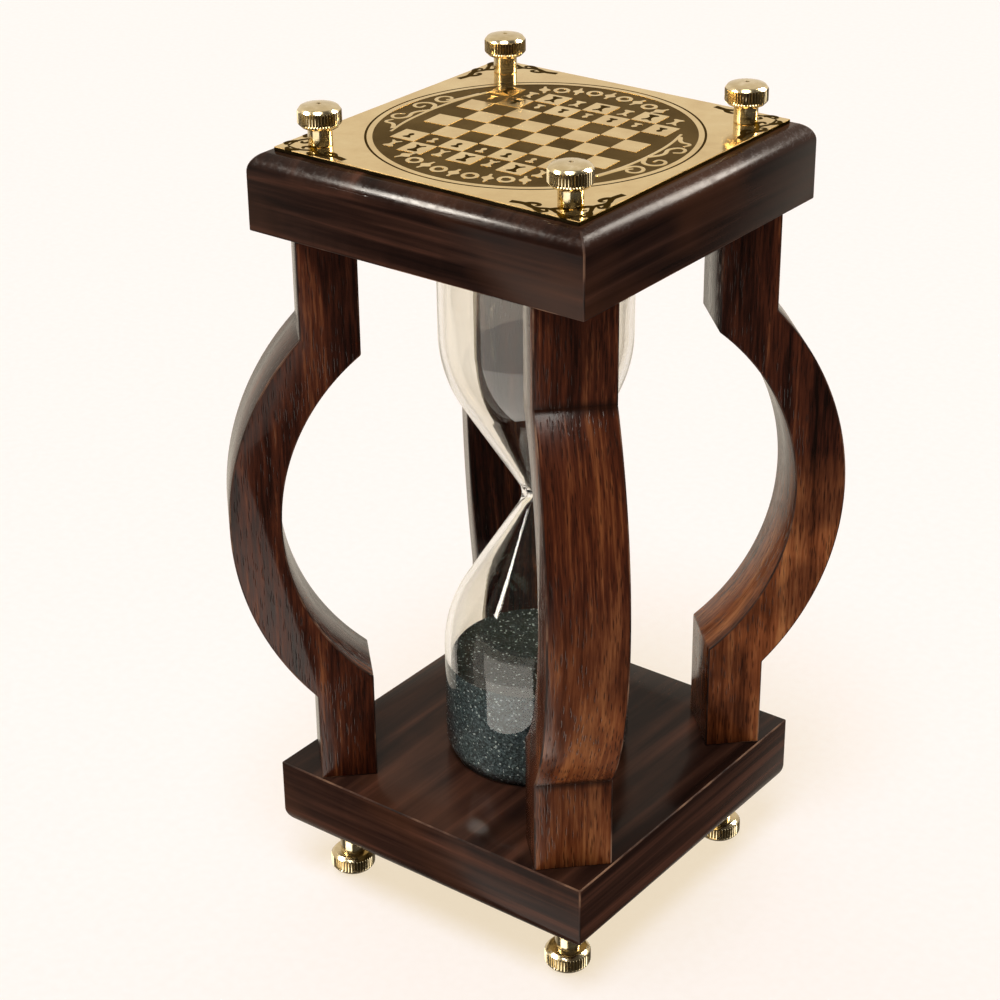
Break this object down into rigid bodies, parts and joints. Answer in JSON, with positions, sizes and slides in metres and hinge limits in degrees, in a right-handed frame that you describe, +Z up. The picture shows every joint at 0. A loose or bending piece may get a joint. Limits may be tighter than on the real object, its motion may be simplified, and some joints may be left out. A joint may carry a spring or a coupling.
{
  "type": "hourglass",
  "caption": "Sand timer: a two-bulb glass between square timber plates with etched brass facings, on bowed legs held by knurled thumb nuts that are also the feet.",
  "frame": {"origin": "on the floor under the centre of the object, at the level of the feet", "axes": "+Z up along the glass; X and Y along the sides of the square plates, so the legs stand on the diagonals; the front leg is towards +X -Y"},
  "size_m": [0.128, 0.128, 0.2216],
  "materials": {
    "dark_timber": "dark stained hardwood under gloss lacquer",
    "red_timber": "red-brown open-grained hardwood, oiled",
    "etched_brass": "polished sheet brass with a dark etched pattern",
    "turned_brass": "turned and polished, knurled rim",
    "stud_steel": "threaded steel",
    "bulb_glass": "clear blown glass",
    "black_sand": "dry slate-black sand with glints",
    "felt": "pressed wool felt",
    "stopper_rubber": "moulded rubber"
  },
  "bodies": {
    "frame": {"upper_plate": "dark_timber", "lower_plate": "dark_timber", "upper_brass_plate": "etched_brass", "lower_brass_plate": "etched_brass", "front_leg": "red_timber", "right_leg": "red_timber", "back_leg": "red_timber", "left_leg": "red_timber", "glass_bulbs": "bulb_glass", "sand": "black_sand", "filling_stopper": "stopper_rubber", "upper_glass_cushion": "felt", "lower_glass_cushion": "felt", "upper_front_stud": "stud_steel", "lower_front_stud": "stud_steel", "upper_right_stud": "stud_steel", "lower_right_stud": "stud_steel", "upper_back_stud": "stud_steel", "lower_back_stud": "stud_steel", "upper_left_stud": "stud_steel", "lower_left_stud": "stud_steel"},
    "front_top_nut": {"front_top_nut": "turned_brass"},
    "right_top_nut": {"right_top_nut": "turned_brass"},
    "back_top_nut": {"back_top_nut": "turned_brass"},
    "left_top_nut": {"left_top_nut": "turned_brass"},
    "front_foot_nut": {"front_foot_nut": "turned_brass"},
    "right_foot_nut": {"right_foot_nut": "turned_brass"},
    "back_foot_nut": {"back_foot_nut": "turned_brass"},
    "left_foot_nut": {"left_foot_nut": "turned_brass"}
  },
  "joints": [
    {"name": "front_top_nut_turn", "type": "hinge", "parent": "frame", "child": "front_top_nut", "pos_m": [0.037, -0.037, 0.2115], "axis": [0, 0, 1], "range_deg": [0, 3600]},
    {"name": "right_top_nut_turn", "type": "hinge", "parent": "frame", "child": "right_top_nut", "pos_m": [0.037, 0.037, 0.2115], "axis": [0, 0, 1], "range_deg": [0, 3600]},
    {"name": "back_top_nut_turn", "type": "hinge", "parent": "frame", "child": "back_top_nut", "pos_m": [-0.037, 0.037, 0.2115], "axis": [0, 0, 1], "range_deg": [0, 3600]},
    {"name": "left_top_nut_turn", "type": "hinge", "parent": "frame", "child": "left_top_nut", "pos_m": [-0.037, -0.037, 0.2115], "axis": [0, 0, 1], "range_deg": [0, 3600]},
    {"name": "front_foot_nut_turn", "type": "hinge", "parent": "frame", "child": "front_foot_nut", "pos_m": [0.037, -0.037, 0.0155], "axis": [0, 0, -1], "range_deg": [0, 3600]},
    {"name": "right_foot_nut_turn", "type": "hinge", "parent": "frame", "child": "right_foot_nut", "pos_m": [0.037, 0.037, 0.0155], "axis": [0, 0, -1], "range_deg": [0, 3600]},
    {"name": "back_foot_nut_turn", "type": "hinge", "parent": "frame", "child": "back_foot_nut", "pos_m": [-0.037, 0.037, 0.0155], "axis": [0, 0, -1], "range_deg": [0, 3600]},
    {"name": "left_foot_nut_turn", "type": "hinge", "parent": "frame", "child": "left_foot_nut", "pos_m": [-0.037, -0.037, 0.0155], "axis": [0, 0, -1], "range_deg": [0, 3600]}
  ]
}
